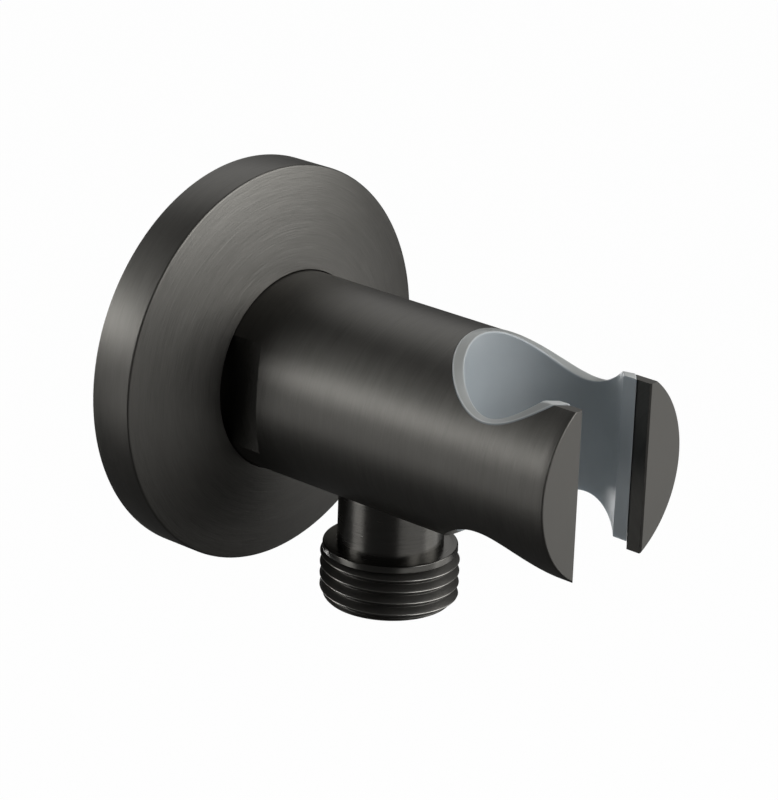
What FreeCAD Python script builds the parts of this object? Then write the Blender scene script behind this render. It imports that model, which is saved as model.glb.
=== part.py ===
import FreeCAD, Part
import math
import os
import Sketcher

# Wall outlet elbow with a handset holder, for a shower.
# Millimetres. +Z is up and +Y points into the wall. The origin is the centre of the wall plate's back
# face. The round body runs out from the wall along -Y, its outlet points down, and the handset drops
# into the holder from above through a slot that is open at the nose.

# Driving dimensions. Every reach is measured from the wall, and every drop from the body's axis.
SIZES = [
    ("body_diameter", 30.8),
    ("body_setback", 1.5),
    ("edge_break", 0.25),
    ("outlet_reach", 32.0),
    ("holder_spacing", 27.6),
    ("jaw_reach", 13.2),
    ("flat_depth", 2.6),
    ("flat_end", 16.8),
    ("flat_runout", 0.9),
    ("inlet_minor_diameter", 18.631),
    ("inlet_mouth_chamfer", 0.8),
    ("inlet_thread_length", 10.0),
    ("relief_depth", 1.3),
    ("relief_width", 2.4),
    ("waterway_diameter", 9.0),
    ("waterway_overrun", 1.0),
    ("drill_tip", 2.6),
    ("holder_bore_diameter", 26.1),
    ("slot_width", 15.1),
    ("jaw_flat_depth", 3.0),
    ("liner_wall", 1.9),
    ("liner_fit", 0.05),
    ("liner_draft", 0.1),
    ("liner_proud", 0.1),
    ("liner_slot_proud", 0.2),
    ("liner_bottom_recess", 1.2),
    ("plate_diameter", 61.6),
    ("plate_rim_depth", 7.4),
    ("plate_hub_reach", 11.2),
    ("plate_skin", 1.8),
    ("plate_rim_wall", 2.0),
    ("plate_edge_radius", 0.4),
    ("plate_fit", 0.1),
    ("hub_wall", 3.6),
    ("hub_back", 3.0),
    ("groove_land", 1.3),
    ("groove_side", 0.3),
    ("plate_ring_section", 1.8),
    ("ring_fit", 0.05),
    ("washer_thickness", 2.0),
    ("washer_inset", 1.25),
    ("washer_fit", 0.3),
    ("neck_diameter", 16.0),
    ("neck_fit", 0.05),
    ("spotface_depth", 3.5),
    ("port_depth", 5.0),
    ("seat_width", 1.4),
    ("seat_gap", 0.1),
    ("spigot_fit", 0.05),
    ("nipple_ring_section", 1.1),
    ("nipple_ring_side", 0.15),
    ("spigot_nose_wall", 0.75),
    ("socket_clearance", 0.2),
    ("socket_depth", 5.0),
    ("shoulder_drop", 21.6),
    ("thread_major_diameter", 20.955),
    ("thread_end_drop", 30.5),
    ("thread_collar_depth", 0.33),
    ("thread_collar_length", 1.0),
    ("thread_end_chamfer", 1.0),
    ("valve_bore_depth", 14.5),
    ("valve_mouth_chamfer", 0.4),
    ("neck_wall", 1.8),
    ("valve_fit", 0.1),
    ("valve_recess", 0.85),
    ("valve_wall", 0.8),
    ("valve_seat_wall", 2.7),
    ("valve_throat_length", 2.75),
    ("valve_cone", 1.5),
    ("valve_ring_offset", 1.2),
    ("valve_ring_section", 0.9),
    ("guide_step", 0.25),
    ("guide_fit", 0.05),
    ("guide_inset", 1.25),
    ("guide_height", 2.2),
    ("guide_rim", 0.9),
    ("snap_bead", 0.2),
    ("snap_bead_width", 0.4),
    ("spoke_width", 1.0),
    ("spoke_count", 3),
    ("hub_margin", 0.4),
    ("stem_diameter", 2.2),
    ("stem_fit", 0.05),
    ("stem_inset", 0.8),
    ("seal_section", 1.0),
    ("seal_lap", 0.15),
    ("seal_gap", 0.1),
    ("head_margin", 0.15),
    ("head_thickness", 1.0),
    ("lip_height", 0.35),
    ("lip_grip", 0.15),
    ("spring_wire", 0.4),
    ("spring_clearance", 0.7),
    ("spring_turns", 4.0),
]


class Size:
    """A length that holds its value and the formula that gives it from the sheet's cells."""

    def __init__(self, value, formula):
        self.value = value
        self.formula = formula

    def __add__(self, other):
        other = as_size(other)
        return Size(self.value + other.value, f"({self.formula} + {other.formula})")

    def __sub__(self, other):
        other = as_size(other)
        return Size(self.value - other.value, f"({self.formula} - {other.formula})")

    def __mul__(self, other):
        other = as_size(other)
        return Size(self.value * other.value, f"({self.formula} * {other.formula})")

    def __truediv__(self, other):
        other = as_size(other)
        return Size(self.value / other.value, f"({self.formula} / {other.formula})")

    def __radd__(self, other):
        return as_size(other) + self

    def __rsub__(self, other):
        return as_size(other) - self

    def __rmul__(self, other):
        return as_size(other) * self

    def __neg__(self):
        return Size(-self.value, f"(0 - {self.formula})")


def as_size(number):
    return number if isinstance(number, Size) else Size(float(number), repr(float(number)))


CUT_OVERRUN = 1.0  # a cut's outline runs this far past the surface that it opens

doc = FreeCAD.newDocument("wall_outlet_elbow")
sheet = doc.addObject("Spreadsheet::Sheet", "Sizes")
for row, (name, number) in enumerate(SIZES, start=1):
    sheet.set(f"A{row}", name)
    sheet.set(f"B{row}", str(number))
    sheet.setAlias(f"B{row}", name)
doc.recompute()


def size(name):
    return Size(float(sheet.get(name)), "Sizes." + name)


def bind(thing, prop, amount):
    thing.setExpression(prop, as_size(amount).formula)


# Places that more than one piece shares
BODY_RADIUS = size("body_diameter") / 2
WATERWAY_RADIUS = size("waterway_diameter") / 2
HOLDER_RADIUS = size("holder_bore_diameter") / 2
HALF_SLOT = size("slot_width") / 2
OUTLET_CENTRE = -size("outlet_reach")
HOLDER_CENTRE = OUTLET_CENTRE - size("holder_spacing")
NOSE = HOLDER_CENTRE - size("jaw_reach")
BODY_BACK = -size("body_setback")
INLET_RADIUS = size("inlet_minor_diameter") / 2
RELIEF_RADIUS = INLET_RADIUS + size("relief_depth")
THREAD_STOP = BODY_BACK - size("inlet_mouth_chamfer") - size("inlet_thread_length")
INLET_SEAT = THREAD_STOP - size("relief_width")

# The plate's hub and the groove in it, which lies behind the spanner flats
HUB_BORE_RADIUS = BODY_RADIUS + size("plate_fit")
HUB_OUTER_RADIUS = HUB_BORE_RADIUS + size("hub_wall")
HALF_GROOVE = size("plate_ring_section") / 2 + size("groove_side")
GROOVE_MIDDLE = -size("hub_back") - size("groove_land") - HALF_GROOVE
FLAT_START = GROOVE_MIDDLE - HALF_GROOVE - size("groove_land")

# The port in the body, and the end of the nipple that screws into it
NECK_RADIUS = size("neck_diameter") / 2
SPOTFACE = size("spotface_depth") - BODY_RADIUS
PORT_TOP = SPOTFACE + size("port_depth")
SPIGOT_RADIUS = NECK_RADIUS - size("seat_width")
PORT_RADIUS = SPIGOT_RADIUS + size("spigot_fit")
SPIGOT_NOSE_RADIUS = PORT_RADIUS - size("nipple_ring_section") - 2 * size("ring_fit")
SPIGOT_TOP = PORT_TOP - size("nipple_ring_section") - 2 * size("nipple_ring_side")
NIPPLE_TOP = PORT_TOP - size("seat_gap")
NECK_TOP = SPOTFACE - size("seat_gap")
NIPPLE_BORE_RADIUS = SPIGOT_NOSE_RADIUS - size("spigot_nose_wall")
NIPPLE_END = -size("thread_end_drop")

# The valve's bore in the nipple, and the valve that stands in it
VALVE_BORE_RADIUS = NECK_RADIUS - size("neck_wall")
VALVE_SEAT = NIPPLE_END + size("valve_bore_depth")
VALVE_RADIUS = VALVE_BORE_RADIUS - size("valve_fit")
VALVE_TOP = VALVE_SEAT - size("valve_fit") / 2
VALVE_END = NIPPLE_END + size("valve_recess")
VALVE_INLET_RADIUS = VALVE_RADIUS - size("valve_seat_wall")
THROAT_END = VALVE_TOP - size("valve_throat_length")
CHAMBER_RADIUS = VALVE_RADIUS - size("valve_wall")
GUIDE_SOCKET_RADIUS = CHAMBER_RADIUS + size("guide_step")
GUIDE_RADIUS = GUIDE_SOCKET_RADIUS - size("guide_fit")
GUIDE_BOTTOM = VALVE_END + size("guide_inset")
GUIDE_TOP = GUIDE_BOTTOM + size("guide_height")
STEM_RADIUS = size("stem_diameter") / 2
SPRING_RADIUS = STEM_RADIUS + size("spring_clearance") + size("spring_wire") / 2
SEAL_RADIUS = size("seal_section") / 2
SEAL_PITCH_RADIUS = VALVE_INLET_RADIUS + size("seal_lap")
# the seal's middle lies so far below the throat that its round section just clears the 45 degree seat
SEAL_MIDDLE = THROAT_END - size("seal_lap") - (SEAL_RADIUS + size("seal_gap")) * math.sqrt(2)
HEAD_TOP = SEAL_MIDDLE - SEAL_RADIUS - size("ring_fit")
HEAD_BOTTOM = HEAD_TOP - size("head_thickness")
LIP_BOTTOM = SEAL_MIDDLE + SEAL_RADIUS + size("ring_fit")
LIP_TOP = LIP_BOTTOM + size("lip_height")


def near(number, amount):
    return abs(number - amount.value) < 0.001


def new_body(label, y=None):
    """An empty body. With y, its own origin stands on the vertical line there, below or above the axis."""
    body = doc.addObject("PartDesign::Body", label)
    body.Label = label
    if y is not None:
        bind(body, "Placement.Base.y", y)
    return body


def new_sketch(body, name, role, shift=None):
    """A sketch on one of the body's origin planes. shift moves its own origin along its first axis."""
    sketch = body.newObject("Sketcher::SketchObject", name)
    plane = next(f for f in body.Origin.OriginFeatures if f.Role == role)
    sketch.AttachmentSupport = [(plane, "")]
    sketch.MapMode = "FlatFace"
    if shift is not None:
        bind(sketch, "AttachmentOffset.Base.x", shift)
    return sketch


def pin_point(sketch, geometry, end, x, y):
    """Fixes one point of a sketch at two bound coordinates, on an axis where a coordinate is 0."""
    for kind, amount, axis in (("DistanceX", as_size(x), -2), ("DistanceY", as_size(y), -1)):
        if amount.value == 0:
            sketch.addConstraint(Sketcher.Constraint("PointOnObject", geometry, end, axis))
        else:
            index = sketch.addConstraint(Sketcher.Constraint(kind, -1, 1, geometry, end, amount.value))
            bind(sketch, f"Constraints[{index}]", amount)


def vector(corner):
    return FreeCAD.Vector(as_size(corner[0]).value, as_size(corner[1]).value, 0)


def draw_outline(sketch, corners):
    """A closed outline of straight edges through the corners, each an (x, y) pair of sizes."""
    first = sketch.GeometryCount
    count = len(corners)
    for i, corner in enumerate(corners):
        sketch.addGeometry(Part.LineSegment(vector(corner), vector(corners[(i + 1) % count])))
    for i, corner in enumerate(corners):
        sketch.addConstraint(
            Sketcher.Constraint("Coincident", first + i, 2, first + (i + 1) % count, 1)
        )
        pin_point(sketch, first + i, 1, *corner)


def draw_circle(sketch, radius, x=0, y=0):
    index = sketch.addGeometry(Part.Circle(vector((x, y)), FreeCAD.Vector(0, 0, 1), radius.value))
    pin_point(sketch, index, 3, x, y)
    constraint = sketch.addConstraint(Sketcher.Constraint("Radius", index, radius.value))
    bind(sketch, f"Constraints[{constraint}]", radius)


def turn(body, name, corners, role, axis, shift=None, cut=False):
    """Turns an outline about one axis of its sketch, as a solid or as a cut."""
    sketch = new_sketch(body, name + "_profile", role, shift)
    draw_outline(sketch, corners)
    feature = body.newObject("PartDesign::Groove" if cut else "PartDesign::Revolution", name)
    feature.Profile = sketch
    feature.ReferenceAxis = (sketch, [axis])
    feature.Angle = 360
    return feature


def turn_along_body(body, name, corners):
    """Turned about the body's axis. A corner is (y, radius)."""
    return turn(body, name, corners, "YZ_Plane", "H_Axis")


def turn_upright(body, name, corners):
    """Turned about the vertical line through the piece's own origin. A corner is (radius, z)."""
    return turn(body, name, corners, "XZ_Plane", "V_Axis")


def cut_through(body, name, sketch):
    """Cuts the sketch's outline right through the piece, both ways from the sketch."""
    pocket = body.newObject("PartDesign::Pocket", name)
    pocket.Profile = sketch
    pocket.Type = "ThroughAll"
    pocket.SideType = "Symmetric"
    return pocket


def round_edges(body, name, radius, on_edge):
    """Rounds each edge of the piece so far whose points all lie where on_edge says."""
    doc.recompute()
    base = body.Tip
    names = [
        f"Edge{number}"
        for number, edge in enumerate(base.Shape.Edges, start=1)
        if all(on_edge(point) for point in edge.discretize(5))
    ]
    fillet = body.newObject("PartDesign::Fillet", name)
    fillet.Base = (base, names)
    bind(fillet, "Radius", radius)


def ring(label, pitch_radius, section_radius, y, z, along_body=False):
    """A round ring of round section, about the body's axis or about a vertical line."""
    torus = doc.addObject("Part::Torus", label)
    torus.Label = label
    bind(torus, "Radius1", pitch_radius)
    bind(torus, "Radius2", section_radius)
    if along_body:
        torus.Placement = FreeCAD.Placement(
            FreeCAD.Vector(), FreeCAD.Rotation(FreeCAD.Vector(1, 0, 0), 90)
        )
    bind(torus, "Placement.Base.y", y)
    bind(torus, "Placement.Base.z", z)
    return torus


# Holder body: one turned bar, with the inlet thread and the waterway bored from the back
def make_holder_body():
    body = new_body("holder_body")
    mouth = size("inlet_mouth_chamfer")
    edge = size("edge_break")
    drill_end = OUTLET_CENTRE - WATERWAY_RADIUS - size("waterway_overrun")
    turn_along_body(body, "turned_bar", [
        (BODY_BACK, INLET_RADIUS + mouth),
        (BODY_BACK - mouth, INLET_RADIUS),
        (THREAD_STOP, INLET_RADIUS),
        (THREAD_STOP, RELIEF_RADIUS),
        (INLET_SEAT, RELIEF_RADIUS),
        (INLET_SEAT, WATERWAY_RADIUS),
        (drill_end, WATERWAY_RADIUS),
        (drill_end - size("drill_tip"), 0),
        (NOSE, 0),
        (NOSE, BODY_RADIUS - edge),
        (NOSE + edge, BODY_RADIUS),
        (BODY_BACK - edge, BODY_RADIUS),
        (BODY_BACK, BODY_RADIUS - edge),
    ])
    cut_spanner_flats(body)
    cut_holder_bore(body)
    cut_slot(body)
    cut_jaw_flats(body)
    bore_outlet_port(body)
    return body


def cut_spanner_flats(body):
    """Two flats on the sides just in front of the wall plate, which run a little way under it."""
    sketch = new_sketch(body, "spanner_flat_outline", "XY_Plane")
    flat = BODY_RADIUS - size("flat_depth")
    start = FLAT_START
    end = -size("flat_end")
    outside = BODY_RADIUS + CUT_OVERRUN
    for side in (-1, 1):
        draw_outline(sketch, [
            (side * flat, start),
            (side * outside, start),
            (side * outside, end - size("flat_runout")),
            (side * flat, end),
        ])
    cut_through(body, "spanner_flats", sketch)


def cut_holder_bore(body):
    sketch = new_sketch(body, "holder_bore_outline", "XY_Plane")
    draw_circle(sketch, HOLDER_RADIUS, 0, HOLDER_CENTRE)
    cut_through(body, "holder_bore", sketch)


def cut_slot(body):
    """The hose passage: from the holder bore out through the nose, with its mouth's edges broken."""
    sketch = new_sketch(body, "slot_outline", "XY_Plane")
    edge = size("edge_break")
    ahead = NOSE - CUT_OVERRUN
    draw_outline(sketch, [
        (HALF_SLOT, HOLDER_CENTRE),
        (HALF_SLOT, NOSE + edge),
        (HALF_SLOT + edge + CUT_OVERRUN, ahead),
        (-HALF_SLOT - edge - CUT_OVERRUN, ahead),
        (-HALF_SLOT, NOSE + edge),
        (-HALF_SLOT, HOLDER_CENTRE),
    ])
    cut_through(body, "slot", sketch)


def cut_jaw_flats(body):
    """The tips of the two jaws are faced level on top, ahead of the holder bore's middle."""
    sketch = new_sketch(body, "jaw_flat_outline", "YZ_Plane")
    level = BODY_RADIUS - size("jaw_flat_depth")
    above = BODY_RADIUS + CUT_OVERRUN
    ahead = NOSE - CUT_OVERRUN
    draw_outline(sketch, [
        (HOLDER_CENTRE, level),
        (HOLDER_CENTRE, above),
        (ahead, above),
        (ahead, level),
    ])
    cut_through(body, "jaw_flats", sketch)


def bore_outlet_port(body):
    """The port from below: a spotface for the neck, the spigot's thread, and the way to the inlet."""
    spotface = NECK_RADIUS + size("neck_fit")
    below = -BODY_RADIUS - CUT_OVERRUN
    turn(body, "outlet_port", [
        (0, 0),
        (WATERWAY_RADIUS, 0),
        (WATERWAY_RADIUS, PORT_TOP),
        (PORT_RADIUS, PORT_TOP),
        (PORT_RADIUS, SPOTFACE),
        (spotface, SPOTFACE),
        (spotface, below),
        (0, below),
    ], "YZ_Plane", "V_Axis", shift=OUTLET_CENTRE, cut=True)


# Wall plate: a turned shell with a low cone for a face, a hollow back and a hub that slides on the body
def make_wall_plate():
    body = new_body("wall_plate")
    rim = size("plate_diameter") / 2
    rim_inside = rim - size("plate_rim_wall")
    rim_front = -size("plate_rim_depth")
    hub_front = -size("plate_hub_reach")
    slope = (hub_front - rim_front) / (rim - HUB_BORE_RADIUS)
    hub_root = rim_front + slope * (rim - HUB_OUTER_RADIUS) + size("plate_skin")
    rim_root = rim_front + slope * (rim - rim_inside) + size("plate_skin")
    groove_bottom = BODY_RADIUS + size("plate_ring_section") + 2 * size("ring_fit")
    turn_along_body(body, "plate_shell", [
        (0, rim),
        (rim_front, rim),
        (hub_front, HUB_BORE_RADIUS),
        (GROOVE_MIDDLE - HALF_GROOVE, HUB_BORE_RADIUS),
        (GROOVE_MIDDLE - HALF_GROOVE, groove_bottom),
        (GROOVE_MIDDLE + HALF_GROOVE, groove_bottom),
        (GROOVE_MIDDLE + HALF_GROOVE, HUB_BORE_RADIUS),
        (-size("hub_back"), HUB_BORE_RADIUS),
        (-size("hub_back"), HUB_OUTER_RADIUS),
        (hub_root, HUB_OUTER_RADIUS),
        (rim_root, rim_inside),
        (0, rim_inside),
    ])
    round_edges(body, "plate_edge", size("plate_edge_radius"), lambda point: (
        near(point.y, rim_front) and near(math.hypot(point.x, point.z), rim)
    ))
    return body


def make_plate_ring():
    """The rubber ring in the hub's groove, which grips the body and holds the plate on the wall."""
    section = size("plate_ring_section") / 2
    return ring("plate_o_ring", BODY_RADIUS + size("ring_fit") + section, section,
                GROOVE_MIDDLE, 0, along_body=True)


def make_inlet_washer():
    """The flat washer at the bottom of the inlet, which the wall pipe's end is screwed down on."""
    body = new_body("inlet_washer")
    outside = RELIEF_RADIUS - size("washer_fit")
    inside = WATERWAY_RADIUS + size("washer_inset")
    front = INLET_SEAT + size("washer_thickness")
    turn_along_body(body, "washer", [
        (INLET_SEAT, inside),
        (INLET_SEAT, outside),
        (front, outside),
        (front, inside),
    ])
    return body


# Outlet nipple: screwed up into the body. The threads that can't be seen are plain at their pitch
# diameter, and the hose thread is plain at its major diameter.
def make_outlet_nipple():
    body = new_body("outlet_nipple", OUTLET_CENTRE)
    shoulder = -size("shoulder_drop")
    major = size("thread_major_diameter") / 2
    collar_depth = size("thread_collar_depth")
    collar = major - collar_depth
    collar_end = shoulder - size("thread_collar_length")
    edge = size("edge_break")
    end_chamfer = size("thread_end_chamfer")
    mouth = size("valve_mouth_chamfer")
    turn_upright(body, "turned_nipple", [
        (NIPPLE_BORE_RADIUS, NIPPLE_TOP),
        (SPIGOT_NOSE_RADIUS, NIPPLE_TOP),
        (SPIGOT_NOSE_RADIUS, SPIGOT_TOP),
        (SPIGOT_RADIUS, SPIGOT_TOP),
        (SPIGOT_RADIUS, NECK_TOP),
        (NECK_RADIUS, NECK_TOP),
        (NECK_RADIUS, shoulder),
        (collar - edge, shoulder),
        (collar, shoulder - edge),
        (collar, collar_end),
        (major, collar_end - collar_depth),
        (major, NIPPLE_END + end_chamfer),
        (major - end_chamfer, NIPPLE_END),
        (VALVE_BORE_RADIUS + mouth, NIPPLE_END),
        (VALVE_BORE_RADIUS, NIPPLE_END + mouth),
        (VALVE_BORE_RADIUS, VALVE_SEAT),
        (NIPPLE_BORE_RADIUS, VALVE_SEAT),
    ])
    cut_hexagon_socket(body)
    return body


def cut_hexagon_socket(body):
    """A hexagon for a key, broached in the waterway above the valve, turns the nipple into the body."""
    sketch = new_sketch(body, "socket_outline", "XY_Plane")
    bind(sketch, "AttachmentOffset.Base.z", VALVE_SEAT)
    half = NIPPLE_BORE_RADIUS - size("socket_clearance")
    half_side = half / math.sqrt(3)
    draw_outline(sketch, [
        (half, half_side),
        (0, 2 * half_side),
        (-half, half_side),
        (-half, -half_side),
        (0, -2 * half_side),
        (half, -half_side),
    ])
    pocket = body.newObject("PartDesign::Pocket", "hexagon_socket")
    pocket.Profile = sketch
    pocket.Reversed = True
    bind(pocket, "Length", size("socket_depth"))


def make_nipple_ring():
    """The rubber ring round the spigot's nose, which seals it at the bottom of the port."""
    section = size("nipple_ring_section") / 2
    middle = (SPIGOT_TOP + PORT_TOP) / 2
    return ring("nipple_o_ring", SPIGOT_NOSE_RADIUS + size("ring_fit") + section, section,
                OUTLET_CENTRE, middle)


# Holder liner: a split plastic sleeve that keeps the handset off the metal
def make_holder_liner():
    body = new_body("holder_liner", HOLDER_CENTRE)
    outside = HOLDER_RADIUS - size("liner_fit")
    inside = outside - size("liner_wall")
    draft = size("liner_draft")
    half_height = BODY_RADIUS + CUT_OVERRUN
    turn_upright(body, "sleeve", [
        (inside - draft, -half_height),
        (outside, -half_height),
        (outside, half_height),
        (inside + draft, half_height),
    ])
    trim_top(body, BODY_RADIUS + size("liner_proud"), inside, outside)
    trim_bottom(body, BODY_RADIUS - size("liner_bottom_recess"))
    ahead = -HOLDER_RADIUS - CUT_OVERRUN
    level = BODY_RADIUS - size("jaw_flat_depth") + size("liner_proud")
    above = BODY_RADIUS + 3 * CUT_OVERRUN
    sketch = new_sketch(body, "liner_jaw_level", "YZ_Plane")
    draw_outline(sketch, [(0, level), (0, above), (ahead, above), (ahead, level)])
    cut_through(body, "jaw_level", sketch)
    sketch = new_sketch(body, "liner_slot_outline", "XY_Plane")
    half = HALF_SLOT - size("liner_slot_proud")
    draw_outline(sketch, [(half, 0), (half, ahead), (-half, ahead), (-half, 0)])
    cut_through(body, "liner_slot", sketch)
    return body


def trim_top(body, radius, inside, outside):
    """Cuts the top so that the rim follows the bar round its outside and is level from there inwards."""
    inner = inside - CUT_OVERRUN
    outer = outside + CUT_OVERRUN
    above = BODY_RADIUS + 2 * CUT_OVERRUN
    sections = []
    for step in range(-6, 7):
        around = 90 + 26 * step
        across = outside * math.cos(math.radians(around))
        height = Size(
            math.sqrt(radius.value ** 2 - across.value ** 2),
            f"sqrt({radius.formula}^2 - {across.formula}^2)",
        )
        sketch = new_sketch(body, f"rim_section_{step + 7}", "XZ_Plane")
        sketch.AttachmentOffset = FreeCAD.Placement(
            FreeCAD.Vector(), FreeCAD.Rotation(FreeCAD.Vector(0, 1, 0), around)
        )
        draw_outline(sketch, [(inner, height), (outer, height), (outer, above), (inner, above)])
        sections.append(sketch)
    loft = body.newObject("PartDesign::SubtractiveLoft", "level_rim")
    loft.Profile = sections[0]
    loft.Sections = [(sketch, [""]) for sketch in sections[1:]]


def trim_bottom(body, radius):
    """Cuts the bottom to a round saddle about the body's axis."""
    sketch = new_sketch(body, "liner_bottom_outline", "XZ_Plane")
    wide = BODY_RADIUS + 2 * CUT_OVERRUN
    corners = [(radius, 0), (wide, 0), (wide, -wide), (-wide, -wide), (-wide, 0), (-radius, 0)]
    for start, end in zip(corners, corners[1:]):
        sketch.addGeometry(Part.LineSegment(vector(start), vector(end)))
    circle = Part.Circle(FreeCAD.Vector(), FreeCAD.Vector(0, 0, 1), radius.value)
    sketch.addGeometry(Part.ArcOfCircle(circle, math.pi, 2 * math.pi))
    arc = len(corners) - 1
    for i in range(arc - 1):
        sketch.addConstraint(Sketcher.Constraint("Coincident", i, 2, i + 1, 1))
    sketch.addConstraint(Sketcher.Constraint("Coincident", arc, 2, 0, 1))
    sketch.addConstraint(Sketcher.Constraint("Coincident", arc, 1, arc - 1, 2))
    sketch.addConstraint(Sketcher.Constraint("Coincident", arc, 3, -1, 1))
    for i, corner in enumerate(corners[:-1]):
        pin_point(sketch, i, 1, *corner)
    sketch.addConstraint(Sketcher.Constraint("PointOnObject", arc - 1, 2, -1))
    cut_through(body, "liner_bottom", sketch)


# Check valve: a cartridge in the nipple's bore. Water pushes the poppet down off its seat, and the
# spring lifts it back.
def make_valve_housing():
    body = new_body("check_valve_housing", OUTLET_CENTRE)
    half_groove = size("valve_ring_section") / 2 + size("ring_fit")
    groove_middle = VALVE_TOP - size("valve_ring_offset")
    groove_radius = VALVE_BORE_RADIUS - 2 * half_groove
    cone = size("valve_cone")
    bead = GUIDE_SOCKET_RADIUS - size("snap_bead")
    bead_top = GUIDE_BOTTOM - size("guide_fit")
    turn_upright(body, "housing", [
        (VALVE_INLET_RADIUS, VALVE_TOP),
        (VALVE_RADIUS, VALVE_TOP),
        (VALVE_RADIUS, groove_middle + half_groove),
        (groove_radius, groove_middle + half_groove),
        (groove_radius, groove_middle - half_groove),
        (VALVE_RADIUS, groove_middle - half_groove),
        (VALVE_RADIUS, VALVE_END),
        (GUIDE_SOCKET_RADIUS, VALVE_END),
        (bead, bead_top - size("snap_bead_width")),
        (bead, bead_top),
        (GUIDE_SOCKET_RADIUS, bead_top),
        (GUIDE_SOCKET_RADIUS, GUIDE_TOP),
        (CHAMBER_RADIUS, GUIDE_TOP),
        (CHAMBER_RADIUS, THROAT_END - cone),
        (VALVE_INLET_RADIUS + cone, THROAT_END - cone),
        (VALVE_INLET_RADIUS, THROAT_END),
    ])
    return body


def make_valve_ring():
    section = size("valve_ring_section") / 2
    return ring("check_valve_o_ring", VALVE_BORE_RADIUS - size("ring_fit") - section, section,
                OUTLET_CENTRE, VALVE_TOP - size("valve_ring_offset"))


def pad_down(body, name, sketch, height):
    """Pads a sketch that lies on the guide's top face, downwards."""
    bind(sketch, "AttachmentOffset.Base.z", GUIDE_TOP)
    pad = body.newObject("PartDesign::Pad", name)
    pad.Profile = sketch
    pad.Reversed = True
    bind(pad, "Length", height)
    return pad


def make_valve_guide():
    """The ring, spokes and hub that steer the poppet's stem and carry the spring."""
    body = new_body("check_valve_guide", OUTLET_CENTRE)
    height = size("guide_height")
    inner = GUIDE_RADIUS - size("guide_rim")
    sketch = new_sketch(body, "guide_rim_outline", "XY_Plane")
    draw_circle(sketch, GUIDE_RADIUS)
    draw_circle(sketch, inner)
    pad_down(body, "guide_rim_ring", sketch, height)
    sketch = new_sketch(body, "spoke_outline", "XY_Plane")
    half = size("spoke_width") / 2
    root = STEM_RADIUS + size("stem_fit") + half
    tip = GUIDE_RADIUS - size("guide_rim") / 2
    draw_outline(sketch, [(root, half), (tip, half), (tip, -half), (root, -half)])
    spoke = pad_down(body, "spoke", sketch, height)
    pattern = body.newObject("PartDesign::PolarPattern", "spokes")
    pattern.Originals = [spoke]
    pattern.Axis = (next(f for f in body.Origin.OriginFeatures if f.Role == "Z_Axis"), [""])
    pattern.Angle = 360
    bind(pattern, "Occurrences", size("spoke_count"))
    body.Tip = pattern
    sketch = new_sketch(body, "hub_outline", "XY_Plane")
    draw_circle(sketch, SPRING_RADIUS + size("spring_wire") / 2 + size("hub_margin"))
    pad_down(body, "hub", sketch, height)
    sketch = new_sketch(body, "stem_bore_outline", "XY_Plane")
    bind(sketch, "AttachmentOffset.Base.z", GUIDE_TOP)
    draw_circle(sketch, STEM_RADIUS + size("stem_fit"))
    cut_through(body, "stem_bore", sketch)
    return body


def make_valve_poppet():
    body = new_body("check_valve_poppet", OUTLET_CENTRE)
    core = SEAL_PITCH_RADIUS - SEAL_RADIUS - size("ring_fit")
    lip = core + size("ring_fit") + size("lip_grip")
    head = SEAL_PITCH_RADIUS + SEAL_RADIUS + size("head_margin")
    tip = GUIDE_BOTTOM + size("stem_inset")
    bevel = STEM_RADIUS / 2
    turn_upright(body, "poppet", [
        (0, LIP_TOP),
        (lip - size("lip_height"), LIP_TOP),
        (lip, LIP_BOTTOM),
        (core, LIP_BOTTOM),
        (core, HEAD_TOP),
        (head, HEAD_TOP),
        (head, HEAD_BOTTOM),
        (STEM_RADIUS, HEAD_BOTTOM),
        (STEM_RADIUS, tip + bevel),
        (STEM_RADIUS - bevel, tip),
        (0, tip),
    ])
    return body


def make_valve_seal():
    return ring("check_valve_seal", SEAL_PITCH_RADIUS, SEAL_RADIUS, OUTLET_CENTRE, SEAL_MIDDLE)


def make_valve_spring():
    """A helical spring of round wire, between the guide and the poppet's head."""
    body = new_body("check_valve_spring", OUTLET_CENTRE)
    wire = size("spring_wire") / 2
    low = GUIDE_TOP + wire + size("ring_fit")
    high = HEAD_BOTTOM - wire - size("ring_fit")
    sketch = new_sketch(body, "wire_section", "XZ_Plane")
    draw_circle(sketch, wire, SPRING_RADIUS, low)
    helix = body.newObject("PartDesign::AdditiveHelix", "coil")
    helix.Profile = sketch
    helix.ReferenceAxis = (sketch, ["V_Axis"])
    helix.Mode = "height-turns-angle"
    bind(helix, "Height", high - low)
    bind(helix, "Turns", size("spring_turns"))
    helix.Angle = 0
    return body


PIECES = [
    make_holder_body(),
    make_wall_plate(),
    make_plate_ring(),
    make_inlet_washer(),
    make_outlet_nipple(),
    make_nipple_ring(),
    make_holder_liner(),
    make_valve_housing(),
    make_valve_ring(),
    make_valve_guide(),
    make_valve_poppet(),
    make_valve_seal(),
    make_valve_spring(),
]
doc.recompute()


def check_model():
    """Stops where a feature failed, a piece isn't one sound solid, or a cut took nothing away."""
    for item in doc.Objects:
        if "Invalid" in item.State or "Error" in item.State:
            raise ValueError(f"{item.Label} failed: {item.State}")
        if item.TypeId in ("PartDesign::Pocket", "PartDesign::Groove", "PartDesign::SubtractiveLoft"):
            if item.Shape.Volume >= item.BaseFeature.Shape.Volume:
                raise ValueError(f"{item.Label} cuts nothing")
    for piece in PIECES:
        shape = piece.Shape
        if shape.isNull() or not shape.isValid() or len(shape.Solids) != 1:
            raise ValueError(f"{piece.Label} is not one sound solid")


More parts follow.
